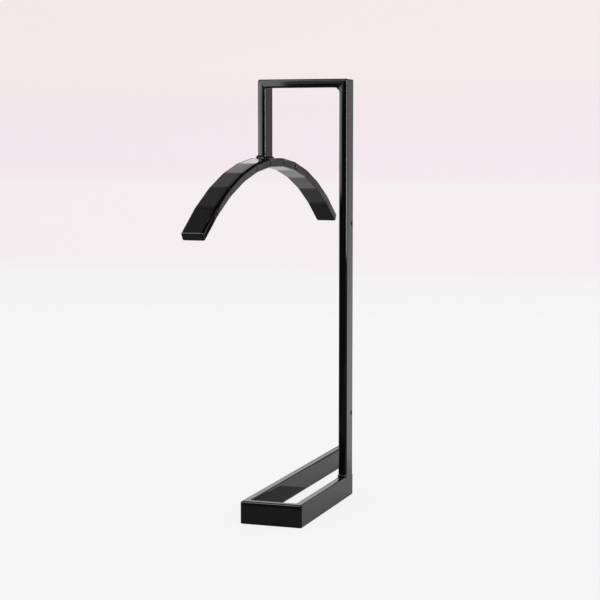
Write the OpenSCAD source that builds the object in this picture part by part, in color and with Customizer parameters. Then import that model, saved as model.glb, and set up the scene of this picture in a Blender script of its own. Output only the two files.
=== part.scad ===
// Coat rack of welded rectangular tube: a wall post with an arm, a drop that carries a
// shoulder arch of flat facets, and a foot whose long side is an open-ended trouser bar.
// Z is up, +X faces the wall, and the arch and the trouser bar run along Y.

/* [Tube] */
// Wide side of the rectangular tube
tube_w = 25; // [24:0.5:40]
// Narrow side of the rectangular tube
tube_t = 10; // [9:0.5:16]
// Wall of the tube
tube_wall = 1.5; // [1:0.1:2.5]
// Outer corner radius of the tube
corner_r = 2; // [0.8:0.1:2.5]

/* [Frame] */
// Height of the rack from the floor to the top of the arm
overall_h = 480; // [430:5:700]
// From the wall side of the post to the outer side of the drop
reach = 108; // [70:1:180]
// Length of the drop, from the top of the arm to the crown of the arch
drop_l = 90; // [50:1:150]

/* [Shoulder arch] */
// Distance between the two ends of the arch, without their caps
arch_span = 450; // [360:5:520]
// Angle that the whole arch bends through
arch_sweep = 73; // [50:1:90]
// How far the arch sits off the drop's centreline, towards the wall
arch_offset = 2; // [0:0.5:4]

/* [Foot] */
// Outer width of the foot, from the wall side to the trouser bar's outer side
foot_w = 70; // [50:1:100]
// From the front of the foot to the middle of the post
foot_front_l = 171; // [100:1:220]
// Whole length of the trouser bar, without its cap
trouser_bar_l = 355; // [240:5:440]

/* [Wall fixing] */
// Bore of the two screw sleeves
screw_bore_d = 5.4; // [3.5:0.1:6]
// Outside diameter of the screw sleeves
sleeve_d = 8; // [7:0.1:9]
// Height of the upper screw above the floor
upper_screw_z = 316; // [200:1:340]
// Height of the lower screw above the floor
lower_screw_z = 97; // [50:1:160]
// How far the screws sit behind the middle of the post
screw_offset = 6; // [0:0.5:6]
// Gap between a sleeve and its hole in the post
sleeve_gap = 0.05; // [0.02:0.01:0.2]

/* [Tube caps] */
// Thickness of a cap's head, outside the tube
cap_head_t = 2; // [1:0.1:4]
// Depth of a cap's plug, inside the tube
cap_plug_l = 12; // [6:1:20]
// Wall of a cap's hollow plug
cap_wall = 1.2; // [0.8:0.1:2]
// Gap between a cap's plug and the inside of the tube
cap_gap = 0.1; // [0.05:0.01:0.3]

/* [Welds] */
// Leg of the fillet around the drop, where it meets the arch
arch_weld_leg = 3.5; // [1:0.1:4]
// Radius of the fillet in the corner under the arm
arm_weld_r = 4; // [1:0.1:8]
// Radius of the fillet in front of the post's foot
foot_weld_r = 3; // [1:0.1:6]

/* [Hidden] */
$fn = 48;

coat_black = [0.07, 0.07, 0.075];
plastic_black = [0.05, 0.05, 0.05];
weld_black = [0.09, 0.09, 0.09];

// The cuts run this far past what they cut
past = 1;
// Least radius of an inner corner of the tube
least_r = 0.3;
inner_r = max(corner_r - tube_wall, least_r);
inner_w = tube_w - 2 * tube_wall;
inner_t = tube_t - 2 * tube_wall;

// Eleven facets, numbered from the front end (-Y) of the arch to its rear end
facets = 11;
mid_facet = (facets + 1) / 2;
facet_angle = arch_sweep / facets;
arch_r = arch_span / 2 / sin(arch_sweep / 2);
facet_half_l = arch_r * sin(facet_angle / 2);
facet_top_r = arch_r * cos(facet_angle / 2);

// The origin lies on the floor, under the middle of the whole rack
arch_to_wall = reach - tube_t / 2 - arch_offset;
wall_x = (arch_to_wall + tube_w / 2) / 2;
drop_x = wall_x - reach + tube_t / 2;
arch_x = drop_x + arch_offset;
crown_z = overall_h - drop_l;
arch_centre_z = crown_z - facet_top_r;
post_x = wall_x - tube_t / 2;
trouser_x = wall_x - foot_w + tube_t / 2;
foot_front_y = -foot_front_l;
post_rear_y = tube_w / 2;

// A rectangle with rounded corners, centred
module round_rect(w, h, r) {
    square([w - 2 * r, h], center = true);
    square([w, h - 2 * r], center = true);
    for (sx = [-1, 1], sy = [-1, 1])
        translate([sx * (w / 2 - r), sy * (h / 2 - r)]) circle(r);
}

// The tube's section, wide side along the second axis
module tube_section() {
    difference() {
        round_rect(tube_t, tube_w, corner_r);
        round_rect(inner_t, inner_w, inner_r);
    }
}

// A tube that stands along Z, narrow side across X
module upright_tube(l) {
    linear_extrude(l) tube_section();
}

// A tube that lies along +Y from the origin, on its narrow side
module foot_tube(l) {
    translate([0, l, 0]) rotate([90, 0, 0]) linear_extrude(l) tube_section();
}

// A tube that lies along Y, centred, on its wide side
module arch_tube(half_l) {
    translate([0, half_l, 0]) rotate([90, 0, 0]) linear_extrude(2 * half_l) rotate(90) tube_section();
}

// A tube that lies along X from the origin, on its wide side
module arm_tube(l) {
    rotate([90, 0, 90]) linear_extrude(l) rotate(90) tube_section();
}

// A plate through the whole depth of the rack, whose outline lies in the XZ plane
module side_prism(points) {
    translate([0, tube_w, 0]) rotate([90, 0, 0]) linear_extrude(2 * tube_w) polygon(points);
}

// The post stands on the wall bar, mitred to the arm and drilled for the sleeves
module post() {
    x0 = wall_x - tube_t;
    color(coat_black) difference() {
        intersection() {
            translate([post_x, 0, tube_w]) upright_tube(overall_h - tube_w);
            side_prism([[x0 - past, 0], [wall_x + past, 0], [wall_x + past, overall_h + past],
                        [x0 - past, overall_h - tube_t - past]]);
        }
        for (z = [upper_screw_z, lower_screw_z]) sleeve_hole(z);
    }
}

module sleeve_hole(z) {
    translate([wall_x - tube_t - past, screw_offset, z]) rotate([0, 90, 0])
        cylinder(h = tube_t + 2 * past, d = sleeve_d + 2 * sleeve_gap);
}

// The arm is mitred at both ends
module arm() {
    x0 = wall_x - reach;
    low = overall_h - tube_t;
    color(coat_black) intersection() {
        translate([x0, 0, overall_h - tube_t / 2]) arm_tube(reach);
        side_prism([[x0 - past, overall_h + past], [x0 + tube_t + past, low - past],
                    [wall_x - tube_t - past, low - past], [wall_x + past, overall_h + past]]);
    }
}

// The drop hangs from the arm and stands on the arch's middle facet
module drop() {
    x0 = wall_x - reach;
    color(coat_black) intersection() {
        translate([drop_x, 0, crown_z]) upright_tube(drop_l);
        side_prism([[x0 - past, 0], [x0 + tube_t + past, 0],
                    [x0 + tube_t + past, overall_h - tube_t - past], [x0 - past, overall_h + past]]);
    }
}

// Puts what is drawn about the arch's centre in place at one facet
module at_facet(number) {
    translate([arch_x, 0, arch_centre_z]) rotate([(mid_facet - number) * facet_angle, 0, 0]) children();
}

// One facet of the arch: mitred to its neighbours, and cut square at the arch's own ends
module arch_segment(number) {
    low = facet_top_r - tube_t - past;
    high = facet_top_r + past;
    slope = tan(facet_angle / 2);
    front_low = number == 1 ? facet_half_l : low * slope;
    front_high = number == 1 ? facet_half_l : high * slope;
    rear_low = number == facets ? facet_half_l : low * slope;
    rear_high = number == facets ? facet_half_l : high * slope;
    color(coat_black) at_facet(number) intersection() {
        translate([0, 0, facet_top_r - tube_t / 2]) arch_tube(facet_half_l);
        rotate([90, 0, 90]) linear_extrude(2 * tube_w, center = true)
            polygon([[-front_low, low], [rear_low, low], [rear_high, high], [-front_high, high]]);
    }
}

// A plastic plug for a tube's end: a flush head, and a hollow stub that points down
module tube_cap() {
    stub_t = inner_t - 2 * cap_gap;
    stub_w = inner_w - 2 * cap_gap;
    linear_extrude(cap_head_t) round_rect(tube_t, tube_w, corner_r);
    translate([0, 0, -cap_plug_l]) linear_extrude(cap_plug_l) difference() {
        round_rect(stub_t, stub_w, least_r);
        square([stub_t - 2 * cap_wall, stub_w - 2 * cap_wall], center = true);
    }
}

module arch_cap(number, side) {
    color(plastic_black) at_facet(number) translate([0, side * facet_half_l, facet_top_r - tube_t / 2])
        rotate([-side * 90, 0, 0]) rotate(90) tube_cap();
}

// A plate through the whole height of the foot, whose outline lies in the XY plane
module foot_prism(points) {
    translate([0, 0, -past]) linear_extrude(tube_w + 2 * past) polygon(points);
}

// The foot's short side, under the post
module wall_bar() {
    x0 = wall_x - tube_t;
    color(coat_black) intersection() {
        translate([post_x, foot_front_y, tube_w / 2]) foot_tube(foot_front_l + post_rear_y);
        foot_prism([[x0 - past, foot_front_y + tube_t + past], [wall_x + past, foot_front_y - past],
                    [wall_x + past, post_rear_y + past], [x0 - past, post_rear_y + past]]);
    }
}

// The foot's front, mitred at both ends
module front_bar() {
    x0 = wall_x - foot_w;
    inner_y = foot_front_y + tube_t + past;
    color(coat_black) intersection() {
        translate([wall_x, foot_front_y + tube_t / 2, tube_w / 2]) rotate(90) foot_tube(foot_w);
        foot_prism([[x0 - past, foot_front_y - past], [wall_x + past, foot_front_y - past],
                    [wall_x - tube_t - past, inner_y], [x0 + tube_t + past, inner_y]]);
    }
}

// The foot's long side, free at its rear end so that trousers slide onto it
module trouser_bar() {
    x0 = wall_x - foot_w;
    rear_y = foot_front_y + trouser_bar_l;
    color(coat_black) intersection() {
        translate([trouser_x, foot_front_y, tube_w / 2]) foot_tube(trouser_bar_l);
        foot_prism([[x0 - past, foot_front_y - past], [x0 + tube_t + past, foot_front_y + tube_t + past],
                    [x0 + tube_t + past, rear_y + past], [x0 - past, rear_y + past]]);
    }
}

module foot_cap(x, y) {
    color(plastic_black) translate([x, y, tube_w / 2]) rotate([-90, 0, 0]) tube_cap();
}

// A steel sleeve that goes through the post, so that a wall screw can't crush the tube
module screw_sleeve(z) {
    color(coat_black) translate([wall_x - tube_t, screw_offset, z]) rotate([0, 90, 0]) difference() {
        cylinder(h = tube_t, d = sleeve_d);
        translate([0, 0, -past]) cylinder(h = tube_t + 2 * past, d = screw_bore_d);
    }
}

// The fillet around the drop's lower end
module arch_weld() {
    skin = 0.2;
    color(weld_black) translate([drop_x, 0, crown_z]) difference() {
        hull() {
            linear_extrude(skin) round_rect(tube_t + 2 * arch_weld_leg, tube_w + 2 * arch_weld_leg,
                                            corner_r + arch_weld_leg, $fn = 24);
            linear_extrude(arch_weld_leg) round_rect(tube_t + 2 * skin, tube_w + 2 * skin,
                                                     corner_r + skin, $fn = 24);
        }
        translate([0, 0, -past]) linear_extrude(arch_weld_leg + 2 * past)
            round_rect(tube_t, tube_w, corner_r);
    }
}

// A concave fillet in a corner: its legs run along +X and +Y of the outline
module fillet(r, l) {
    linear_extrude(l, center = true) difference() {
        square(r);
        translate([r, r]) circle(r);
    }
}

// The fillet in the corner between the arm and the post
module arm_weld() {
    color(weld_black) translate([wall_x - tube_t, 0, overall_h - tube_t])
        rotate([90, 180, 0]) fillet(arm_weld_r, tube_w - 2 * corner_r);
}

// The fillet between the front of the post and the top of the wall bar
module foot_weld() {
    color(weld_black) translate([post_x, -tube_w / 2, tube_w])
        rotate([90, 0, -90]) fillet(foot_weld_r, tube_t - 2 * corner_r);
}

post();
arm();
drop();
arch_segment(1);  // arch_segment_01
arch_segment(2);  // arch_segment_02
arch_segment(3);  // arch_segment_03
arch_segment(4);  // arch_segment_04
arch_segment(5);  // arch_segment_05
arch_segment(6);  // arch_segment_06
arch_segment(7);  // arch_segment_07
arch_segment(8);  // arch_segment_08
arch_segment(9);  // arch_segment_09
arch_segment(10);  // arch_segment_10
arch_segment(11);  // arch_segment_11
arch_cap(1, -1);  // arch_cap_front
arch_cap(facets, 1);  // arch_cap_rear
wall_bar();
front_bar();
trouser_bar();
foot_cap(post_x, post_rear_y);  // wall_bar_cap
foot_cap(trouser_x, foot_front_y + trouser_bar_l);  // trouser_bar_cap
screw_sleeve(upper_screw_z);  // screw_sleeve_upper
screw_sleeve(lower_screw_z);  // screw_sleeve_lower
arch_weld();
arm_weld();
foot_weld();
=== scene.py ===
import math
import bmesh
import bpy
from mathutils import Matrix, Vector, noise


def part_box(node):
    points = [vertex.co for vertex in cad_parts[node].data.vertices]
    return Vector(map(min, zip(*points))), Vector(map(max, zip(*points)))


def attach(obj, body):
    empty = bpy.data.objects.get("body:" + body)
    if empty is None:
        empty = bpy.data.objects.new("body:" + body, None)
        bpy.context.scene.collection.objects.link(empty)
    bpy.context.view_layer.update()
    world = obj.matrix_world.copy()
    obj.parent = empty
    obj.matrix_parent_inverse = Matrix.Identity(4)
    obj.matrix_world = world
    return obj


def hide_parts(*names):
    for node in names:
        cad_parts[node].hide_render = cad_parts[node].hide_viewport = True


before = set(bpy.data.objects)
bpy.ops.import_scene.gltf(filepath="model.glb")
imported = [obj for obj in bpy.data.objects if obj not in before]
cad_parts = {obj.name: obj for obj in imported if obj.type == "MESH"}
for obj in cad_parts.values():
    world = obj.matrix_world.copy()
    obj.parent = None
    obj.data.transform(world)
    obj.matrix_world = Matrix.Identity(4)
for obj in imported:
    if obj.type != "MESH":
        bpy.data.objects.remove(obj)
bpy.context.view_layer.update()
mm = 0.001
print("model loaded, %d nodes" % len(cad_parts))


# small helpers

def deselectAll():
    if bpy.context.object and bpy.context.object.mode != "OBJECT":
        bpy.ops.object.mode_set(mode="OBJECT")
    bpy.ops.object.select_all(action="DESELECT")


def makeActive(obj):
    deselectAll()
    obj.select_set(True)
    bpy.context.view_layer.objects.active = obj


def removeObject(obj):
    makeActive(obj)
    bpy.ops.object.delete()


def startEdit(obj):
    makeActive(obj)
    bpy.ops.object.mode_set(mode="EDIT")
    bpy.ops.mesh.select_mode(type="VERT")
    bpy.ops.mesh.select_all(action="DESELECT")


def endEdit():
    bpy.ops.object.mode_set(mode="OBJECT")


def pickFaces(obj, test):
    # test gets each face's middle in mm and its normal
    bpy.ops.mesh.select_mode(type="FACE")
    bpy.ops.mesh.select_all(action="DESELECT")
    mesh = bmesh.from_edit_mesh(obj.data)
    for face in mesh.faces:
        face.select_set(bool(test(face.calc_center_median() / mm, face.normal)))
    bmesh.update_edit_mesh(obj.data)


def pickEdges(obj, test):
    # test gets both ends of each edge in mm
    bpy.ops.mesh.select_mode(type="EDGE")
    bpy.ops.mesh.select_all(action="DESELECT")
    mesh = bmesh.from_edit_mesh(obj.data)
    for edge in mesh.edges:
        edge.select_set(bool(test(edge.verts[0].co / mm, edge.verts[1].co / mm)))
    bmesh.update_edit_mesh(obj.data)


def pickAll():
    bpy.ops.mesh.select_all(action="SELECT")


def addBox(name, low, high):
    # a cube at its size and place, both corners in mm
    deselectAll()
    middle = [(a + b) / 2 * mm for a, b in zip(low, high)]
    bpy.ops.mesh.primitive_cube_add(size=1, location=middle)
    obj = bpy.context.object
    obj.scale = [(b - a) * mm for a, b in zip(low, high)]
    obj.name = name
    obj.data.name = name
    bpy.ops.object.transform_apply(location=True, rotation=True, scale=True)
    return obj


def growFace(obj, middle, normal, length):
    # extrudes the face with that middle and normal along the normal
    middle = Vector(middle)
    normal = Vector(normal)
    pickFaces(obj, lambda m, n: n.dot(normal) > 0.99 and (m - middle).length < 0.5)
    bpy.ops.mesh.extrude_region_move(TRANSFORM_OT_translate={"value": normal * length * mm})


def bevelEdges(obj, test, radius, segments):
    pickEdges(obj, test)
    bpy.ops.mesh.bevel(offset_type="OFFSET", offset=radius * mm, segments=segments, profile=0.5,
                       affect="EDGES", clamp_overlap=False)


def cutThrough(point, normal):
    # in edit mode: a line of new edges where the plane meets the mesh, point in metres
    pickAll()
    bpy.ops.mesh.bisect(plane_co=point, plane_no=normal, threshold=0.000001)


def keepSide(obj, point, normal):
    # cuts the mesh at a plane, keeps the side that the normal points to and closes the cut
    startEdit(obj)
    pickAll()
    bpy.ops.mesh.bisect(plane_co=Vector(point) * mm, plane_no=Vector(normal).normalized(),
                        use_fill=True, clear_inner=True, clear_outer=False, threshold=0.000001)
    endEdit()


def copyPiece(obj, name):
    makeActive(obj)
    bpy.ops.object.duplicate()
    piece = bpy.context.object
    piece.name = name
    piece.data.name = name
    return piece


def applyModifier(obj, kind, **settings):
    makeActive(obj)
    modifier = obj.modifiers.new(kind.lower(), kind)
    for key, value in settings.items():
        setattr(modifier, key, value)
    bpy.ops.object.modifier_apply(modifier=modifier.name)


def smoothFaces(obj, degrees=32):
    makeActive(obj)
    bpy.ops.object.shade_smooth_by_angle(angle=math.radians(degrees))
    applyModifier(obj, "WEIGHTED_NORMAL", mode="FACE_AREA", weight=80, keep_sharp=True)


def finishPiece(obj, slotName, *nodes):
    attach(obj, "root")
    if nodes:
        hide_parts(*nodes)


def hexColour(code):
    # sRGB hex to linear
    values = [int(code[i:i + 2], 16) / 255 for i in (1, 3, 5)]
    linear = [v / 12.92 if v <= 0.04045 else ((v + 0.055) / 1.055) ** 2.4 for v in values]
    return linear + [1.0]


def addNode(tree, kind, settings=None, inputs=None, links=None):
    # one node with its settings, its socket values and the links that come in
    node = tree.nodes.new(kind)
    for key, value in (settings or {}).items():
        setattr(node, key, value)
    for key, value in (inputs or {}).items():
        node.inputs[key].default_value = value
    for key, source in (links or {}).items():
        tree.links.new(source, node.inputs[key])
    return node


def setRampColours(node, steps):
    # steps are pairs of a position from 0 to 1 and a colour
    elements = node.color_ramp.elements
    for (position, colour), element in zip(steps, elements):
        element.position = position
        element.color = hexColour(colour)
    for position, colour in steps[2:]:
        elements.new(position).color = hexColour(colour)


deselectAll()


# places from the frame, in mm

def boxOf(node):
    low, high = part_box(node)
    return [v / mm for v in low], [v / mm for v in high]


postLow, postHigh = boxOf("post")
armLow, armHigh = boxOf("arm")
dropLow, dropHigh = boxOf("drop")
wallBarLow, wallBarHigh = boxOf("wall_bar")
frontBarLow, frontBarHigh = boxOf("front_bar")
trouserLow, trouserHigh = boxOf("trouser_bar")
tubeT = armHigh[2] - armLow[2]
tubeW = postHigh[1] - postLow[1]


# camera

print("camera")
cameraValues = {
    "place": (623.1, -1819.2, 415.4),   # mm
    "pitchDown": 5.606,                 # degrees
    "azimuth": 19.015,
    "lens": 100.17,
    "sensorW": 36,
}
cameraData = bpy.data.cameras.new("photoCamera")
cameraData.lens = cameraValues["lens"]
cameraData.sensor_width = cameraValues["sensorW"]
cameraData.clip_end = 60
camera = bpy.data.objects.new("photoCamera", cameraData)
bpy.context.scene.collection.objects.link(camera)
camera.location = Vector(cameraValues["place"]) * mm
cameraTilt = math.radians(90 - cameraValues["pitchDown"])
camera.rotation_euler = (cameraTilt, 0, math.radians(cameraValues["azimuth"]))
bpy.context.scene.camera = camera
bpy.context.scene.view_settings.view_transform = "Standard"


# welded frame: one run of tube, then cut at its mitres

print("welded frame")
frameValues = {
    "edgeR": 2.1,          # rounding of the tube's long edges
    "edgeSegments": 6,
    "soleR": 1.0,          # the same under the foot
    "topCornerR": 2.4,     # outer corners of the upper frame, larger than edgeR
    "footCornerR": 2.5,    # outer corners of the foot, larger than edgeR
    "armFilletR": 6.0,     # ground weld in the corner under the arm
    "footFilletR": 3.0,    # ground weld in front of the post's foot
    "innerR": 0.8,         # the other inner corners
    "crown": 0.35,         # roll-formed tube: its narrow sides fall off this much towards their edges
}


def growRun():
    # the tube as square-edged blocks, each grown from the last one's face
    x0, x1 = postLow[0], postHigh[0]
    y0, y1 = postLow[1], postHigh[1]
    footH = wallBarHigh[2]
    topZ = armHigh[2]
    armBottom = armLow[2]
    dropX0, dropX1 = dropLow[0], dropHigh[0]
    frontY0, frontY1 = frontBarLow[1], frontBarHigh[1]
    trouserX0, trouserX1 = trouserLow[0], trouserHigh[0]
    midX = (x0 + x1) / 2
    midArm = (armBottom + topZ) / 2
    midFoot = footH / 2
    midFront = (frontY0 + frontY1) / 2
    bar = addBox("weldedFrame", (x0, y0, 0), (x1, y1, footH))
    startEdit(bar)
    # up the post, along the arm and down the drop
    growFace(bar, (midX, 0, footH), (0, 0, 1), armBottom - footH)
    growFace(bar, (midX, 0, armBottom), (0, 0, 1), topZ - armBottom)
    growFace(bar, (x0, 0, midArm), (-1, 0, 0), x0 - dropX1)
    growFace(bar, (dropX1, 0, midArm), (-1, 0, 0), dropX1 - dropX0)
    growFace(bar, ((dropX0 + dropX1) / 2, 0, armBottom), (0, 0, -1), armBottom - dropLow[2])
    # forward along the wall bar, across the front and back along the trouser bar
    growFace(bar, (midX, y0, midFoot), (0, -1, 0), y0 - frontY1)
    growFace(bar, (midX, frontY1, midFoot), (0, -1, 0), frontY1 - frontY0)
    growFace(bar, (x0, midFront, midFoot), (-1, 0, 0), x0 - trouserX1)
    growFace(bar, (trouserX1, midFront, midFoot), (-1, 0, 0), trouserX1 - trouserX0)
    growFace(bar, ((trouserX0 + trouserX1) / 2, frontY1, midFoot), (0, 1, 0), trouserHigh[1] - frontY1)
    pickAll()
    bpy.ops.mesh.dissolve_limited(angle_limit=math.radians(1))
    endEdit()
    return bar


def cornerAt(points, axis):
    # a test that is true for an edge along that axis with both ends on one of the corner points
    def test(a, b):
        if abs((b - a).normalized()[axis]) < 0.99:
            return False
        for point in points:
            if all(i == axis or abs(a[i] - point[i]) < 0.05 for i in range(3)):
                return True
        return False
    return test


def roundRun(bar, values):
    x0, x1 = postLow[0], postHigh[0]
    y0, y1 = postLow[1], postHigh[1]
    footH = wallBarHigh[2]
    topZ = armHigh[2]
    armBottom = armLow[2]
    frontY0, frontY1 = frontBarLow[1], frontBarHigh[1]
    trouserX0, trouserX1, trouserEnd = trouserLow[0], trouserHigh[0], trouserHigh[1]
    filletY, filletZ = y0 - values["footFilletR"], footH + values["footFilletR"]

    def bothAt(a, b, axis, level):
        return abs(a[axis] - level) < 0.02 and abs(b[axis] - level) < 0.02

    def longEdge(a, b):
        # the rims between narrow and wide sides, but not the tube ends or the lines across a corner
        if bothAt(a, b, 2, dropLow[2]) or bothAt(a, b, 1, trouserEnd):
            return False
        if bothAt(a, b, 1, y1) and bothAt(a, b, 2, 0):
            return False
        mid = (a + b) / 2
        if filletY - 0.05 < mid[1] < y0 + 0.05 and footH - 0.05 < mid[2] < filletZ + 0.05:
            return bothAt(a, b, 0, x0) or bothAt(a, b, 0, x1)
        if mid[2] > footH + 0.01:
            return bothAt(a, b, 1, y0) or bothAt(a, b, 1, y1)
        return bothAt(a, b, 2, footH)

    def soleEdge(a, b):
        # the rims under the foot, apart from the two ends
        return bothAt(a, b, 2, 0) and not bothAt(a, b, 1, trouserEnd) and not bothAt(a, b, 1, y1)

    segments = values["edgeSegments"]
    startEdit(bar)
    bevelEdges(bar, cornerAt([(dropLow[0], 0, topZ), (x1, 0, topZ)], 1), values["topCornerR"], segments)
    bevelEdges(bar, cornerAt([(x0, 0, armBottom)], 1), values["armFilletR"], 8)
    bevelEdges(bar, cornerAt([(dropHigh[0], 0, armBottom)], 1), values["innerR"], 3)
    bevelEdges(bar, cornerAt([(0, y0, footH)], 0), values["footFilletR"], 8)
    bevelEdges(bar, cornerAt([(x1, frontY0, 0), (trouserX0, frontY0, 0)], 2), values["footCornerR"], 5)
    bevelEdges(bar, cornerAt([(x0, frontY1, 0), (trouserX1, frontY1, 0)], 2), values["innerR"], 3)
    bevelEdges(bar, longEdge, values["edgeR"], segments)
    bevelEdges(bar, soleEdge, values["soleR"], 4)
    endEdit()


def cutFrame(bar):
    # one copy for each tube, cut down to its own length
    x1, topZ, footH = postHigh[0], armHigh[2], wallBarHigh[2]
    dropX0, frontY0, trouserX0 = dropLow[0], frontBarLow[1], trouserLow[0]
    gapX = 20   # between the post and the bars on the room side
    rightTop, leftTop = (x1, 0, topZ), (dropX0, 0, topZ)
    rightFront, leftFront = (x1, frontY0, 0), (trouserX0, frontY0, 0)
    cutZ = footH + 0.05   # a hair above the foot's top, because a cut in line with a face leaves it behind
    upper, lower = ((0, 0, cutZ), (0, 0, 1)), ((0, 0, cutZ), (0, 0, -1))
    wallSide, roomSide = ((gapX, 0, 0), (1, 0, 0)), ((gapX, 0, 0), (-1, 0, 0))
    cuts = {
        "postTube": [upper, (rightTop, (1, 0, -1)), wallSide],
        "armTube": [upper, (rightTop, (-1, 0, 1)), (leftTop, (1, 0, 1))],
        "dropTube": [upper, (leftTop, (-1, 0, -1)), roomSide],
        "wallBarTube": [lower, (rightFront, (1, 1, 0)), wallSide],
        "frontBarTube": [lower, (rightFront, (-1, -1, 0)), (leftFront, (1, -1, 0))],
        "trouserBarTube": [lower, (leftFront, (-1, 1, 0)), roomSide],
    }
    pieces = {}
    for name, planes in cuts.items():
        piece = copyPiece(bar, name)
        for point, normal in planes:
            keepSide(piece, point, normal)
        pieces[name] = piece
    removeObject(bar)
    return pieces


def drillPost(post):
    # the holes that the two screw sleeves sit in
    for sleeve in ("screw_sleeve_upper", "screw_sleeve_lower"):
        low, high = boxOf(sleeve)
        middle = [(a + b) / 2 for a, b in zip(low, high)]
        deselectAll()
        bpy.ops.mesh.primitive_cylinder_add(vertices=48, radius=(high[2] - low[2]) / 2 * mm,
                                            depth=(high[0] - low[0] + 4) * mm, location=Vector(middle) * mm,
                                            rotation=(0, math.pi / 2, 0))
        drill = bpy.context.object
        applyModifier(post, "BOOLEAN", operation="DIFFERENCE", solver="EXACT", object=drill)
        removeObject(drill)


def roundNarrowSides(piece, node, thin, flat, levels, values):
    # three lengthwise cuts, then the narrow sides fall off towards their edges in a shallow curve
    low, high = boxOf(node)
    middle = (low[thin] + high[thin]) / 2
    half = (high[thin] - low[thin]) / 2
    normal = [0, 0, 0]
    normal[thin] = 1
    startEdit(piece)
    for share in (-0.25, 0, 0.25):
        point = [0, 0, 0]
        point[thin] = (middle + share * half) * mm
        cutThrough(point, normal)
    mesh = bmesh.from_edit_mesh(piece.data)
    for vertex in mesh.verts:
        across = min(abs(vertex.co[thin] / mm - middle) / half, 1)
        for sign, level in levels:
            depth = sign * (level - vertex.co[flat] / mm)
            if -0.02 < depth < values["edgeR"] + 0.01:
                vertex.co[flat] -= sign * values["crown"] * across * across * mm
    bmesh.update_edit_mesh(piece.data)
    endEdit()


weldedFrame = growRun()
roundRun(weldedFrame, frameValues)
tubes = cutFrame(weldedFrame)
upright = [(-1, postLow[1]), (1, postHigh[1])]
lying = [(1, wallBarHigh[2])]   # the foot's underside stays flat
tubePlan = {
    # each tube's node, thin axis, the axis that its narrow sides face, and their side and level
    "postTube": ("post", 0, 1, upright),
    "armTube": ("arm", 2, 1, upright),
    "dropTube": ("drop", 0, 1, upright),
    "wallBarTube": ("wall_bar", 0, 2, lying),
    "frontBarTube": ("front_bar", 1, 2, lying),
    "trouserBarTube": ("trouser_bar", 0, 2, lying),
}
for name, (node, thin, flat, levels) in tubePlan.items():
    roundNarrowSides(tubes[name], node, thin, flat, levels, frameValues)
drillPost(tubes["postTube"])
for name, plan in tubePlan.items():
    smoothFaces(tubes[name])
    finishPiece(tubes[name], "coat", plan[0])


# shoulder arch

print("shoulder arch")
archValues = {
    "facets": 11,
    "sweep": 73.0,         # degrees, as the CAD's
    "span": 450.0,
    "ridgeR": 2.2,         # half width of the ground weld over each ridge
    "edgeR": 2.1,          # rounding of the outer long edges, and of the inner ones
    "innerEdgeR": 1.2,
}


def archGeometry(values):
    sweep = math.radians(values["sweep"])
    step = sweep / values["facets"]
    radius = values["span"] / 2 / math.sin(sweep / 2)
    middleLow, middleHigh = boxOf("arch_segment_06")
    apothem = radius * math.cos(step / 2)
    return {
        "sweep": sweep, "step": step, "radius": radius, "apothem": apothem,
        "innerR": (apothem - tubeT) / math.cos(step / 2),
        "facetL": 2 * radius * math.sin(step / 2),
        "centreZ": middleHigh[2] - apothem,
        "x0": middleLow[0], "x1": middleHigh[0],
        "last": (values["facets"] - 1) / 2,   # facets are counted from the middle one, -last to last
    }


def buildArch(g, values):
    midX = (g["x0"] + g["x1"]) / 2
    centre = Vector((midX, 0, g["centreZ"])) * mm
    # the section at the front end, as a plane that the spin turns through the sweep
    angle = -g["sweep"] / 2
    midR = (g["radius"] + g["innerR"]) / 2
    place = centre + Vector((0, math.sin(angle), math.cos(angle))) * midR * mm
    deselectAll()
    bpy.ops.mesh.primitive_plane_add(size=1, location=place)
    arch = bpy.context.object
    arch.name = "shoulderArch"
    arch.data.name = "shoulderArch"
    arch.scale = ((g["x1"] - g["x0"]) * mm, (g["radius"] - g["innerR"]) * mm, 1)
    # the plane's Y side becomes the radial one
    arch.rotation_euler = (math.pi / 2 - angle, 0, 0)
    bpy.ops.object.transform_apply(location=True, rotation=True, scale=True)
    startEdit(arch)
    pickAll()
    bpy.ops.mesh.spin(steps=values["facets"], angle=g["sweep"], center=centre, axis=(1, 0, 0))
    pickAll()
    bpy.ops.mesh.remove_doubles(threshold=0.001 * mm)
    bpy.ops.mesh.normals_make_consistent(inside=False)
    endEdit()
    return arch


def shapeArch(arch, g, values):
    innerEnd = g["innerR"] * math.sin(g["sweep"] / 2)
    lean = g["last"] * g["step"]
    startEdit(arch)
    # the two ends are cut square to their facets
    square = tubeT * math.tan(g["step"] / 2)
    mesh = bmesh.from_edit_mesh(arch.data)
    for vertex in mesh.verts:
        if abs(abs(vertex.co.y / mm) - innerEnd) < 0.05:
            side = math.copysign(1, vertex.co.y)
            vertex.co += Vector((0, side * math.cos(lean), -math.sin(lean))) * square * mm
    bmesh.update_edit_mesh(arch.data)
    pickAll()
    bpy.ops.mesh.dissolve_limited(angle_limit=math.radians(1))

    def ridge(a, b):
        return abs((b - a)[0]) > 5 and abs(a[1]) < innerEnd - 1

    def longEdge(a, b):
        mid = (a + b) / 2
        radial = abs((b - a).normalized().dot(Vector((0, mid[1], mid[2] - g["centreZ"])).normalized()))
        return abs((b - a)[0]) < 0.05 and not (abs(mid[1]) > innerEnd and radial > 0.9)

    def outerEdge(a, b):
        mid = (a + b) / 2
        return longEdge(a, b) and math.hypot(mid[1], mid[2] - g["centreZ"]) > g["innerR"] + 4
    bevelEdges(arch, ridge, values["ridgeR"], 3)
    bevelEdges(arch, outerEdge, values["edgeR"], 5)
    bevelEdges(arch, longEdge, values["innerEdgeR"], 4)
    endEdit()


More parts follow.
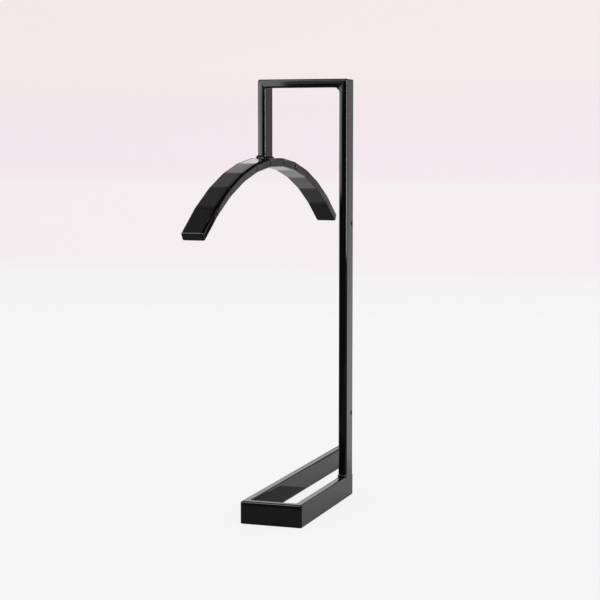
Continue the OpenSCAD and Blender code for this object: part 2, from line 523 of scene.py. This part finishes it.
seamValues = {
    "halfW": 2.6,          # half width of the weld bead
    "rise": 0.9,
    "lump": 0.8,           # the bead's mean height and its swing, as shares of the rise
    "lumpsPerMm": 0.45,
    "plain": (-0.1, 0.2),  # radians: the wall side's beads near the crown are plain to see
    "faint": 0.3,          # share of the height further out, and underneath
    "under": 0.25,
    "underEdge": 1.3,
}


def addSeams(arch, g, values):
    # a weld bead at each mitre: a cut, four more beside it, and the middle ones raised
    centreZ = g["centreZ"]
    sideX = (g["x0"], g["x1"])
    halfW = values["halfW"]
    startEdit(arch)
    for joint in range(1, archValues["facets"]):
        angle = -g["sweep"] / 2 + joint * g["step"]
        tangent = Vector((0, math.cos(angle), -math.sin(angle)))
        shown = 1.0 if values["plain"][0] < angle < values["plain"][1] else values["faint"]

        def fromJoint(place):
            return abs(place[1] * tangent[1] + (place[2] - centreZ) * tangent[2])

        def sideEdge(a, b):
            flat = abs(a[0] - b[0]) < 0.01 and min(abs(a[0] - x) for x in sideX) < 0.01
            return flat and max(fromJoint(a), fromJoint(b)) < halfW + 0.1 and (b - a).length > 3.5
        cutThrough((0, 0, centreZ * mm), tangent)
        # the bisect leaves its own cut selected
        bpy.ops.mesh.bevel(offset_type="OFFSET", offset=halfW * mm, segments=4, affect="EDGES",
                           clamp_overlap=False)
        pickEdges(arch, sideEdge)
        bpy.ops.mesh.subdivide(number_cuts=7)
        mesh = bmesh.from_edit_mesh(arch.data)
        mesh.normal_update()
        moves = []
        for vertex in mesh.verts:
            place = vertex.co / mm
            near = fromJoint(place) / halfW
            if near > 0.98 or place[2] < centreZ:
                continue
            inside = math.hypot(place[1], place[2] - centreZ) < g["innerR"] + 0.3
            if sideX[1] - place[0] < 0.1:
                share = shown
            elif inside and place[0] - sideX[0] > values["underEdge"]:
                share = values["under"]
            else:
                continue
            lump = values["lump"] * (1 + noise.noise(place * values["lumpsPerMm"]))
            moves.append((vertex, vertex.normal * share * lump * (1 - near * near) * values["rise"] * mm))
        for vertex, move in moves:
            vertex.co += move
        bmesh.update_edit_mesh(arch.data)
    endEdit()


groundValues = {
    # the outer edge on the wall side is ground by hand
    "cuts": (-16, -10, -4, 4, 10, 16),   # cross cuts from each facet's middle, in mm
    "insets": (4.0, 6.5),  # lengthwise cuts on the top, from the wall side
    "flat": 0.22,          # how far the rounding is flattened, how much more at a joint, and the most
    "atJoint": 0.42,
    "jointW": 3.2,
    "jointStep": 44.0,     # from joint to joint, rounded
    "most": 0.6,
    "wave": 0.30,
    "waveL": 9.0,
    "fall": 0.5,           # how far the top falls off towards this edge on the front half
    "fallFrom": (-25, 30),   # where that starts behind the crown and over how many mm it grows
    "fallTo": (-222, 25),    # the same from the front cap
    "fallPower": 1.6,
}


def grindEdge(arch, g, values):
    # wavy, flattest at the joints and wider on the front half
    centreZ = g["centreZ"]
    startEdit(arch)
    for facet in range(archValues["facets"]):
        lean = (facet - g["last"]) * g["step"]
        along = Vector((0, math.cos(lean), -math.sin(lean)))
        middle = Vector((0, math.sin(lean), math.cos(lean))) * g["apothem"] + Vector((0, 0, centreZ))
        for shift in values["cuts"]:
            cutThrough((middle + along * shift) * mm, along)
    for inset in values["insets"]:
        cutThrough(((g["x1"] - inset) * mm, 0, 0), (1, 0, 0))
    edgeR = archValues["edgeR"]
    reach = values["insets"][-1]
    mesh = bmesh.from_edit_mesh(arch.data)
    for vertex in mesh.verts:
        vertex.co.x = max(vertex.co.x, g["x0"] * mm)   # nothing stands out on the room side
        place = vertex.co / mm
        angle = math.atan2(place[1], place[2] - centreZ)
        turns = angle / g["step"]
        facet = max(-g["last"], min(g["last"], round(turns)))
        out = Vector((0, math.sin(facet * g["step"]), math.cos(facet * g["step"])))
        depth = g["apothem"] - (place - Vector((0, 0, centreZ))).dot(out)
        fromSide = g["x1"] - place[0]
        fall = min((values["fallFrom"][0] - place[1]) / values["fallFrom"][1],
                   (place[1] - values["fallTo"][0]) / values["fallTo"][1])
        fall = max(0.0, min(1.0, fall)) * values["fall"]
        if depth < 0.25 and edgeR - 0.05 < fromSide < reach:
            vertex.co -= out * fall * ((reach - fromSide) / (reach - edgeR)) ** values["fallPower"] * mm
        if not 0.05 < depth < edgeR - 0.05 or not 0.05 < fromSide < edgeR - 0.05:
            continue
        fromJoint = abs(turns - math.floor(turns) - 0.5) * values["jointStep"]
        atJoint = math.exp(-(fromJoint / values["jointW"]) ** 2) * values["atJoint"]
        wavePlace = Vector((0.7, place[1] / values["waveL"], place[2] / values["waveL"]))
        wave = values["wave"] * noise.noise(wavePlace)
        push = max(0.0, min(values["most"], values["flat"] + atJoint + wave))
        round45 = math.sin(math.pi * fromSide / edgeR)
        vertex.co += (Vector((-1, 0, 0)) - out).normalized() * push * round45 * mm
        vertex.co -= out * fall * (1 - depth / edgeR) * mm
    bmesh.update_edit_mesh(arch.data)
    endEdit()


archPlace = archGeometry(archValues)
shoulderArch = buildArch(archPlace, archValues)
shapeArch(shoulderArch, archPlace, archValues)
addSeams(shoulderArch, archPlace, seamValues)
grindEdge(shoulderArch, archPlace, groundValues)
smoothFaces(shoulderArch, 20)
finishPiece(shoulderArch, "coat", *["arch_segment_%02d" % number for number in range(1, 12)])


# moulded caps in the tube ends

print("caps")
capValues = {
    "headT": 2.0,
    "cornerR": 2.0,
    "rimR": 1.5,           # rounding of the head's outer rim
    "partingGap": 0.3,     # the shadow line between the head and the tube
    "partingInset": 0.25,
    "domeInset": 0.9,      # the head is a little domed
    "domeRise": 0.08,
    "flushSink": 1.2,      # how far the wall bar's cap sits in, nearly flush with the post
}


def buildCap(values):
    head, gap = values["headT"], values["partingGap"]
    cap = addBox("tubeCap", (-tubeT / 2, -tubeW / 2, gap), (tubeT / 2, tubeW / 2, head))
    startEdit(cap)
    bevelEdges(cap, lambda a, b: abs((b - a)[2]) > 1, values["cornerR"], 5)
    bevelEdges(cap, lambda a, b: abs(a[2] - head) < 0.01 and abs(b[2] - head) < 0.01, values["rimR"], 3)
    pickFaces(cap, lambda m, n: n[2] < -0.9)
    bpy.ops.mesh.inset(thickness=values["partingInset"] * mm, depth=0)
    bpy.ops.mesh.extrude_region_move(TRANSFORM_OT_translate={"value": (0, 0, -(gap + 0.1) * mm)})
    pickFaces(cap, lambda m, n: n[2] > 0.99)
    bpy.ops.mesh.inset(thickness=values["domeInset"] * mm, depth=values["domeRise"] * mm)
    endEdit()
    return cap


def placeCap(cap, name, node, place, outward, wide):
    # thin side, wide side and outward become the cap's own X, Y and Z
    outward = Vector(outward).normalized()
    wide = Vector(wide).normalized()
    thin = wide.cross(outward)
    piece = copyPiece(cap, name)
    turn = Matrix((thin, wide, outward)).transposed().to_4x4()
    piece.matrix_world = Matrix.Translation(Vector(place) * mm) @ turn
    makeActive(piece)
    bpy.ops.object.transform_apply(location=True, rotation=True, scale=True)
    smoothFaces(piece, 40)
    finishPiece(piece, "cap", node)
    return piece


tubeCap = buildCap(capValues)
archLean = archPlace["last"] * archPlace["step"]
archEndR = archPlace["apothem"] - tubeT / 2
caps = []
for side, name, node in ((-1, "archCapFront", "arch_cap_front"), (1, "archCapRear", "arch_cap_rear")):
    radial = Vector((0, side * math.sin(archLean), math.cos(archLean)))
    tangent = Vector((0, side * math.cos(archLean), -math.sin(archLean)))
    place = Vector(((archPlace["x0"] + archPlace["x1"]) / 2, 0, archPlace["centreZ"]))
    place += radial * archEndR + tangent * archPlace["facetL"] / 2
    caps.append(placeCap(tubeCap, name, node, place, tangent, (1, 0, 0)))
for low, high, sink, name, node in (
        (wallBarLow, wallBarHigh, capValues["flushSink"], "wallBarCap", "wall_bar_cap"),
        (trouserLow, trouserHigh, 0, "trouserBarCap", "trouser_bar_cap")):
    place = ((low[0] + high[0]) / 2, high[1] - sink, (low[2] + high[2]) / 2)
    caps.append(placeCap(tubeCap, name, node, place, (0, 1, 0), (0, 0, 1)))
removeObject(tubeCap)


# welds

print("welds")
collarValues = {
    # the bead's section, from its top edge to below the arch: height over the crown and width, in mm
    "section": [(3.4, 0.02), (2.4, 0.55), (1.6, 1.1), (0.8, 1.65), (0.1, 2.1), (-0.8, 2.3)],
    "thin": 0.5,           # share of the size behind the drop and on its wall side
    "lump": 0.2,           # slow swings of the size along the bead, and quick ones
    "lumpsPerMm": 0.3,
    "fineLump": 0.05,
    "finePerMm": 0.9,
    "sheet": 0.8,
}


def buildCollar(values):
    # the bead around the drop's foot: the drop's own outline, pulled out ring by ring
    crownZ = dropLow[2]
    ringStep = 10.0
    middle = Vector(((dropLow[0] + dropHigh[0]) / 2, 0, crownZ))
    half = ((dropHigh[0] - dropLow[0]) / 2, (dropHigh[1] - dropLow[1]) / 2)
    cornerR = frameValues["edgeR"]
    deselectAll()
    bpy.ops.mesh.primitive_plane_add(size=1, location=middle * mm)
    collar = bpy.context.object
    collar.name = "archWeldCollar"
    collar.data.name = "archWeldCollar"
    collar.scale = (2 * half[0] * mm, 2 * half[1] * mm, 1)
    bpy.ops.object.transform_apply(location=True, rotation=True, scale=True)
    startEdit(collar)
    pickAll()
    bpy.ops.mesh.bevel(offset_type="OFFSET", offset=cornerR * mm, segments=8, affect="VERTICES")
    pickEdges(collar, lambda a, b: (b - a).length > 2)
    bpy.ops.mesh.subdivide(number_cuts=23)
    pickAll()
    bpy.ops.mesh.delete(type="ONLY_FACE")
    for ring in range(len(values["section"]) - 1):
        level = crownZ + ringStep * ring
        pickEdges(collar, lambda a, b: abs(a[2] - level) < 0.01 and abs(b[2] - level) < 0.01)
        bpy.ops.mesh.extrude_edges_move(TRANSFORM_OT_translate={"value": (0, 0, ringStep * mm)})
    mesh = bmesh.from_edit_mesh(collar.data)
    for vertex in mesh.verts:
        spot = vertex.co / mm
        ring = round((spot[2] - crownZ) / ringStep)
        height, width = values["section"][ring]
        out = Vector((0, 0, 0))
        for i in (0, 1):
            along = spot[i] - middle[i]
            out[i] = math.copysign(max(abs(along) - (half[i] - cornerR), 0), along)
        out.normalize()
        slow = noise.noise(Vector((spot[0] * values["lumpsPerMm"], spot[1] * values["lumpsPerMm"], 4.1)))
        fine = noise.noise(Vector((spot[0] * values["finePerMm"], spot[1] * values["finePerMm"], ring * 0.7)))
        grow = 1 + values["lump"] * slow + values["fineLump"] * fine
        if out[0] > 0.5 or out[1] > 0.5:
            grow *= values["thin"]
        vertex.co.x += out[0] * width * grow * mm
        vertex.co.y += out[1] * width * grow * mm
        vertex.co.z = (crownZ + height * (grow if height > 0 else 1)) * mm
    bmesh.update_edit_mesh(collar.data)
    pickAll()
    bpy.ops.mesh.normals_make_consistent(inside=False)
    endEdit()
    applyModifier(collar, "SOLIDIFY", thickness=values["sheet"] * mm, offset=-1)
    applyModifier(collar, "SUBSURF", levels=1, render_levels=1)
    smoothFaces(collar, 80)
    return collar


archCollar = buildCollar(collarValues)
finishPiece(archCollar, "weld", "arch_weld")

# drops of weld metal, in mm: place from a corner of the frame and half sizes
lumpValues = {
    "uneven": 0.35,
    "lumpsPerMm": 1.1,
    "arm": [
        ((-1.75, 0.3, -1.9), (0.6, 0.3, 0.5)),
        ((0.65, 0.0, 1.8), (0.6, 0.35, 0.6)),
        ((-19.75, -0.05, 4.2), (0.45, 0.2, 0.4)),
        ((-1.85, 24.6, -1.7), (0.7, 0.5, 0.6)),
        ((2.25, 25.0, -4.0), (0.5, 0.3, 0.6)),
    ],
    "foot": [
        ((1.25, -1.1, 0.9), (1.5, 1.3, 1.1)),
        ((3.25, -0.9, 1.1), (1.6, 1.2, 1.2)),
        ((5.45, -1.0, 1.0), (1.7, 1.3, 1.1)),
        ((7.65, -0.9, 1.1), (1.4, 1.1, 1.1)),
    ],
    "drop": [((-0.45, 0.1, 5.4), (0.9, 0.7, 0.9))],
    # on the arch: facets from the middle one, depth under the wall side and the outer radius, half sizes
    "archOuter": [((-3.5, 0.55, 0.8), (0.7, 0.9, 0.7)), ((-2.45, 0.45, 0.9), (0.7, 1.2, 0.6))],
    # the same over the inner radius
    "archInner": [((2.5, 0.25, 0.8), (0.8, 1.5, 0.8)), ((1.5, 0.25, 0.8), (0.8, 1.4, 0.8)),
                  ((3.5, 0.25, 0.8), (0.8, 1.5, 0.8)), ((4.5, 0.25, 0.8), (0.8, 1.3, 0.8))],
}


def addLump(place, size, seed):
    # a small ball, pressed flat and made uneven
    middle = Vector(place) * mm
    deselectAll()
    bpy.ops.mesh.primitive_ico_sphere_add(subdivisions=3, radius=1, location=middle)
    lump = bpy.context.object
    lump.scale = [v * mm for v in size]
    bpy.ops.object.transform_apply(location=True, rotation=True, scale=True)
    for vertex in lump.data.vertices:
        arm = vertex.co - middle
        push = noise.noise(arm / mm * lumpValues["lumpsPerMm"] + Vector((seed * 3.7, seed * 1.3, 0)))
        vertex.co = middle + arm * (1 + lumpValues["uneven"] * push)
    return lump


def joinLumps(name, spots, firstSeed):
    lumps = [addLump(place, size, seed) for seed, (place, size) in enumerate(spots, firstSeed)]
    deselectAll()
    for lump in lumps:
        lump.select_set(True)
    bpy.context.view_layer.objects.active = lumps[0]
    bpy.ops.object.join()
    piece = bpy.context.object
    piece.name = name
    piece.data.name = name
    smoothFaces(piece, 80)
    return piece


def fromCorner(corner, spots):
    return [(Vector(corner) + Vector(offset), size) for offset, size in spots]


def archSpot(facetsAway, inset, radius):
    # a point of the arch, so many facets from its middle, negative towards the front
    angle = facetsAway * archPlace["step"]
    up = archPlace["centreZ"] + math.cos(angle) * radius
    return (archPlace["x1"] - inset, math.sin(angle) * radius, up)


armSpots = fromCorner((postLow[0], postLow[1], armLow[2]), lumpValues["arm"])
footSpots = fromCorner((postLow[0], postLow[1], wallBarHigh[2]), lumpValues["foot"])
archSpots = fromCorner((dropHigh[0], dropLow[1], dropLow[2]), lumpValues["drop"])
for (facetsAway, inset, depth), size in lumpValues["archOuter"]:
    archSpots.append((archSpot(facetsAway, inset, archPlace["radius"] - depth), size))
for (facetsAway, inset, depth), size in lumpValues["archInner"]:
    archSpots.append((archSpot(facetsAway, inset, archPlace["innerR"] + depth), size))
armSpatter = joinLumps("armWeldSpatter", armSpots, 1)
footBead = joinLumps("footWeldBead", footSpots, 6)
archSpatter = joinLumps("archWeldSpatter", archSpots, 10)
finishPiece(armSpatter, "weld", "arm_weld")
finishPiece(footBead, "weld", "foot_weld")
finishPiece(archSpatter, "weld")


# finishes

print("finishes")
coatValues = {
    "peelCell": 3,         # mm: fine orange peel, a slower swell and a few dull rubbed patches
    "swellCell": 14,
    "rubCell": 38,
    "rubbed": 0.06,        # how much rougher a rubbed patch is
    "ior": 1.24,           # one plain layer, matched to the photo's dim mirror images
}


def powderCoat(name, colour, rubbedColour, roughness, peel):
    # a near-black film with a clear, wet-looking top; peel is the depth of its orange peel in mm
    finish = bpy.data.materials.new(name)
    finish.use_nodes = True
    tree = finish.node_tree
    shader = tree.nodes["Principled BSDF"]
    place = addNode(tree, "ShaderNodeTexCoord").outputs["Object"]
    # Object coordinates are in metres: 1 / (3 mm) gives one cell in 3 mm
    fine = addNode(tree, "ShaderNodeTexNoise",
                   inputs={"Scale": 1 / (coatValues["peelCell"] * mm), "Detail": 2.0, "Roughness": 0.45},
                   links={"Vector": place})
    swell = addNode(tree, "ShaderNodeTexNoise",
                    inputs={"Scale": 1 / (coatValues["swellCell"] * mm), "Detail": 1.0},
                    links={"Vector": place})
    rubs = addNode(tree, "ShaderNodeTexNoise",
                   inputs={"Scale": 1 / (coatValues["rubCell"] * mm), "Detail": 3.0}, links={"Vector": place})
    tint = addNode(tree, "ShaderNodeMix", {"data_type": "RGBA"},
                   {6: hexColour(colour), 7: hexColour(rubbedColour)}, {0: rubs.outputs["Fac"]})
    tree.links.new(tint.outputs[2], shader.inputs["Base Color"])
    dull = addNode(tree, "ShaderNodeMapRange",
                   inputs={1: 0.35, 2: 0.75, 3: roughness, 4: roughness + coatValues["rubbed"]},
                   links={0: rubs.outputs["Fac"]})
    tree.links.new(dull.outputs[0], shader.inputs["Roughness"])
    height = addNode(tree, "ShaderNodeMath", {"operation": "MULTIPLY_ADD"}, {1: 0.35},
                     {0: fine.outputs["Fac"], 2: swell.outputs["Fac"]})
    bump = addNode(tree, "ShaderNodeBump", inputs={"Strength": 1.0, "Distance": peel * mm},
                   links={"Height": height.outputs[0]})
    tree.links.new(bump.outputs["Normal"], shader.inputs["Normal"])
    shader.inputs["IOR"].default_value = coatValues["ior"]
    return finish


def setFinish(obj, finish):
    obj.data.materials.clear()
    obj.data.materials.append(finish)


# baked polyester powder on smooth tube: deep black, with mirror images that are sharp but a little uneven
glossCoat = powderCoat("glossBlackPowderCoat", "#0a0a0b", "#0d0c0c", 0.05, 0.02)
# the same powder over raw weld metal: blacker and duller, with soft broken highlights
weldCoat = powderCoat("powderCoatOverWeld", "#080808", "#0b0b0b", 0.22, 0.03)
# moulded nylon: an even black, a shade lighter and softer than the coat
capPlastic = powderCoat("glossBlackMouldedNylon", "#0b0b0c", "#0d0d0d", 0.09, 0.015)
for piece in tubes.values():
    setFinish(piece, glossCoat)
setFinish(shoulderArch, glossCoat)
for piece in caps:
    setFinish(piece, capPlastic)
for piece in (archCollar, armSpatter, footBead, archSpatter):
    setFinish(piece, weldCoat)
for name in ("screw_sleeve_upper", "screw_sleeve_lower"):
    setFinish(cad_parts[name], glossCoat)


# studio: a paper sweep and the air around it, in metres

print("studio")
studioValues = {
    "floorFront": -14.0,
    "floorHalfW": 14.0,
    "backdropY": 2.25,
    "backdropTop": 1.0,
    "coveR": 0.25,
    "ownGlow": 0.88,       # share of its own even colour that the camera sees, the rest is its lit surface
    "glossGlow": 0.25,     # the same for the gloss, which also shows the shadow around the foot
    "paper": [(0.0, "#f9f9f9"), (0.05, "#f9f8f8"), (0.09, "#f8f3f5"), (0.29, "#f8f3f5"), (0.33, "#f8edf2"),
              (0.50, "#f8ecf1"), (0.58, "#f8efee"), (0.75, "#f8efed")],       # height in metres, colour
    "worldSteps": [(0.0, "#f4f0f0"), (0.16, "#f4ebe8"), (0.45, "#ece8e5"), (0.62, "#c0bcba"),
                   (0.78, "#aca8a6"), (0.93, "#a8a4a2"), (1.0, "#202020")],
    "worldFloor": 0.3,     # where the horizon lies on those steps
    "worldRight": 2.0,     # how fast they darken towards the right, and from where
    "worldRightFrom": -0.15,
    "ambient": 0.45,
}


def buildSweep(values):
    # one sheet of pale paper: the floor, a cove and a low backdrop
    front, back, half = values["floorFront"], values["backdropY"], values["floorHalfW"]
    deselectAll()
    bpy.ops.mesh.primitive_plane_add(size=1, location=(0, (front + back) / 2, 0))
    sweep = bpy.context.object
    sweep.name = "paperSweep"
    sweep.scale = (2 * half, back - front, 1)
    bpy.ops.object.transform_apply(location=True, rotation=True, scale=True)
    startEdit(sweep)
    backY = back / mm
    pickEdges(sweep, lambda a, b: abs(a[1] - backY) < 1 and abs(b[1] - backY) < 1)
    bpy.ops.mesh.extrude_edges_move(TRANSFORM_OT_translate={"value": (0, 0, values["backdropTop"])})
    pickEdges(sweep, lambda a, b: abs(a[1] - backY) + abs(b[1] - backY) + abs(a[2]) + abs(b[2]) < 1)
    bpy.ops.mesh.bevel(offset_type="OFFSET", offset=values["coveR"], segments=16, affect="EDGES",
                       clamp_overlap=False)
    endEdit()
    makeActive(sweep)
    bpy.ops.object.shade_smooth()
    # matte paper: an even pale ground that still takes the rack's soft shadow
    paper = bpy.data.materials.new("matteStudioPaper")
    paper.use_nodes = True
    tree = paper.node_tree
    shader = tree.nodes["Principled BSDF"]
    shader.inputs["Roughness"].default_value = 1.0
    shader.inputs["Specular IOR Level"].default_value = 0.0
    place = addNode(tree, "ShaderNodeTexCoord").outputs["Object"]
    up = addNode(tree, "ShaderNodeSeparateXYZ", links={0: place})
    ramp = addNode(tree, "ShaderNodeValToRGB", links={"Fac": up.outputs["Z"]})
    setRampColours(ramp, values["paper"])
    tree.links.new(ramp.outputs["Color"], shader.inputs["Base Color"])
    glow = addNode(tree, "ShaderNodeEmission", links={"Color": ramp.outputs["Color"]})
    path = addNode(tree, "ShaderNodeLightPath")
    gloss = addNode(tree, "ShaderNodeMath", {"operation": "MULTIPLY"}, {1: values["glossGlow"]},
                    {0: path.outputs["Is Glossy Ray"]})
    through = addNode(tree, "ShaderNodeMath", {"operation": "MAXIMUM"},
                      links={0: path.outputs["Is Camera Ray"], 1: path.outputs["Is Transmission Ray"]})
    share = addNode(tree, "ShaderNodeMath", {"operation": "MULTIPLY_ADD"}, {1: values["ownGlow"]},
                    {0: through.outputs[0], 2: gloss.outputs[0]})
    mixed = addNode(tree, "ShaderNodeMixShader",
                    links={0: share.outputs[0], 1: shader.outputs[0], 2: glow.outputs[0]})
    tree.links.new(mixed.outputs[0], tree.nodes["Material Output"].inputs["Surface"])
    sweep.data.materials.append(paper)


def buildWorld(values):
    # pale near the horizon, darker high up and on the right; even and soft for the light on the rest
    world = bpy.data.worlds.new("studio")
    bpy.context.scene.world = world
    world.use_nodes = True
    tree = world.node_tree
    way = addNode(tree, "ShaderNodeTexCoord").outputs["Generated"]
    parts = addNode(tree, "ShaderNodeSeparateXYZ", links={0: way})
    right = addNode(tree, "ShaderNodeMath", {"operation": "MAXIMUM"}, {1: values["worldRightFrom"]},
                    {0: parts.outputs["X"]})
    height = addNode(tree, "ShaderNodeMath", {"operation": "MULTIPLY_ADD"}, {1: values["worldRight"]},
                     {0: right.outputs[0], 2: parts.outputs["Z"]})
    level = addNode(tree, "ShaderNodeMath", {"operation": "ADD"}, {1: values["worldFloor"]},
                    {0: height.outputs[0]})
    ramp = addNode(tree, "ShaderNodeValToRGB", links={"Fac": level.outputs[0]})
    setRampColours(ramp, values["worldSteps"])
    seen = addNode(tree, "ShaderNodeBackground", inputs={"Strength": 1.0},
                   links={"Color": ramp.outputs["Color"]})
    soft = addNode(tree, "ShaderNodeBackground",
                   inputs={"Color": (1, 1, 1, 1), "Strength": values["ambient"]})
    # camera, glossy and transmission rays see the steps, so that the gloss mirrors what the camera sees
    path = addNode(tree, "ShaderNodeLightPath")
    either = addNode(tree, "ShaderNodeMath", {"operation": "MAXIMUM"},
                     links={0: path.outputs["Is Camera Ray"], 1: path.outputs["Is Glossy Ray"]})
    direct = addNode(tree, "ShaderNodeMath", {"operation": "MAXIMUM"},
                     links={0: either.outputs[0], 1: path.outputs["Is Transmission Ray"]})
    mixed = addNode(tree, "ShaderNodeMixShader",
                    links={0: direct.outputs[0], 1: soft.outputs[0], 2: seen.outputs[0]})
    tree.links.new(mixed.outputs[0], tree.nodes["World Output"].inputs["Surface"])


buildSweep(studioValues)
buildWorld(studioValues)


# soft boxes: place and target in metres, width and height, watts, and what doesn't see them

glossOnly = {"visible_diffuse": False}
lampValues = {
    "overhead": ((0.2, 0.6, 2.2), (0, 0.5, 0), (2.4, 2.4), 22, {"visible_glossy": False}),
    "backBox": ((-0.65, 1.95, 0.88), (-0.65, 0, 0.88), (1.3, 1.06), 3.1, {}),
    "leftBox": ((-0.72, -0.76, 0.655), (0, 0, 0.655), (0.62, 0.69), 20, glossOnly),
    "leftFill": ((-0.40, -0.917, 0.655), (0, 0, 0.655), (0.11, 0.69), 2.3, glossOnly),
    "frontFill": ((-0.295, -0.956, 0.745), (0, 0, 0.745), (0.105, 0.51), 0.34, glossOnly),
    "topBox": ((-0.36, -0.93, 1.25), (0, 0, 0.40), (0.46, 0.48), 12, glossOnly),
    "rightStrip": ((1.1, -0.4, 0.70), (0, 0, 0.70), (0.40, 1.0), 60, glossOnly),
}


def addSoftbox(name, place, target, size, power, hiddenFrom):
    light = bpy.data.lights.new(name, "AREA")
    light.shape = "RECTANGLE"
    light.size, light.size_y = size
    light.energy = power
    lamp = bpy.data.objects.new(name, light)
    bpy.context.scene.collection.objects.link(lamp)
    lamp.location = place
    lamp.rotation_euler = (Vector(target) - Vector(place)).to_track_quat("-Z", "Y").to_euler()
    lamp.visible_camera = False
    for key, shown in hiddenFrom.items():
        setattr(lamp, key, shown)


for name, settings in lampValues.items():
    addSoftbox(name, *settings)


# cards that only the gloss sees, upright or flat on the floor: two corners in metres, colours at shares of
# the height, or of the depth where the card lies flat, and brightness

def plain(colour):
    return [(0.0, colour), (1.0, colour)]


cardZ = 0.002
cardValues = {
    "frontFlag": ((-1.8, -1.1, 0), (1.0, -1.1, 1.6), plain("#686868"), 1.0),
    "rightFlag": ((0.25, 1.3, 0.30), (0.95, 1.3, 0.75), plain("#bebab8"), 1.0),
    "gapFlag": ((-0.15, 1.9, 0.42), (0.50, 1.9, 1.5), plain("#181818"), 1.0),
    "rearFlag": ((-1.1, 2.1, 0.30), (-0.25, 2.1, 0.50), plain("#a0a0a0"), 1.0),
    "whiteCard": ((0.175, 0.5, 0.0), (0.34, 0.5, 0.56),
                  [(0.0, "#f8f8f8"), (0.22, "#f8f8f8"), (0.45, "#dcdcdc"), (0.6, "#c8c8c8"),
                   (0.9, "#c0c0c0")], 1.35),
    "whiteFloorCard": ((0.09, 0.14, cardZ), (0.34, 0.5, cardZ), [(0.0, "#d0d0d0"), (0.3, "#f8f8f8")], 1.25),
    "frontFloorCard": ((-0.14, -0.95, cardZ), (0.6, -0.25, cardZ),
                       [(0.75, "#a0a0a0"), (0.88, "#606060"), (0.975, "#404040"), (1.0, "#909090")], 1.0),
    "frontFarCard": ((-0.60, -1.09, cardZ), (-0.14, -0.50, cardZ), plain("#686868"), 1.0),
    "rearFloorCard": ((-0.60, 0.20, cardZ), (-0.05, 0.80, cardZ),
                      [(0.30, "#909090"), (0.37, "#b0b0b0"), (0.5, "#b8b8b8"), (0.6, "#dedede"),
                       (1.0, "#e4e4e4")], 1.0),
    # painted shade: a dark grey card flat under the foot, seen only in the gloss, stands in for the floor's
    # shadow between the bars
    "footShadeCard": ((-0.003, -0.161, cardZ), (0.0467, 0.020, cardZ), plain("#8c8c8c"), 1.0),
}


def addCard(name, low, high, steps, strength):
    size = Vector(high) - Vector(low)
    upright = size[1] == 0
    axis, letter = (2, "Z") if upright else (1, "Y")
    deselectAll()
    bpy.ops.mesh.primitive_plane_add(size=1, location=(Vector(high) + Vector(low)) / 2,
                                     rotation=(math.pi / 2 if upright else 0, 0, 0))
    card = bpy.context.object
    card.name = name
    card.scale = (size[0], size[axis], 1)
    bpy.ops.object.transform_apply(location=True, rotation=True, scale=True)
    board = bpy.data.materials.new(name + "Board")
    board.use_nodes = True
    tree = board.node_tree
    place = addNode(tree, "ShaderNodeTexCoord").outputs["Object"]
    along = addNode(tree, "ShaderNodeSeparateXYZ", links={0: place}).outputs[letter]
    share = addNode(tree, "ShaderNodeMapRange", inputs={1: low[axis], 2: high[axis]}, links={0: along})
    ramp = addNode(tree, "ShaderNodeValToRGB", links={"Fac": share.outputs[0]})
    setRampColours(ramp, steps)
    glow = addNode(tree, "ShaderNodeEmission", inputs={"Strength": strength},
                   links={"Color": ramp.outputs["Color"]})
    tree.links.new(glow.outputs[0], tree.nodes["Material Output"].inputs["Surface"])
    card.data.materials.append(board)
    for kind in ("camera", "diffuse", "shadow", "transmission"):
        setattr(card, "visible_" + kind, False)


for name, settings in cardValues.items():
    addCard(name, *settings)
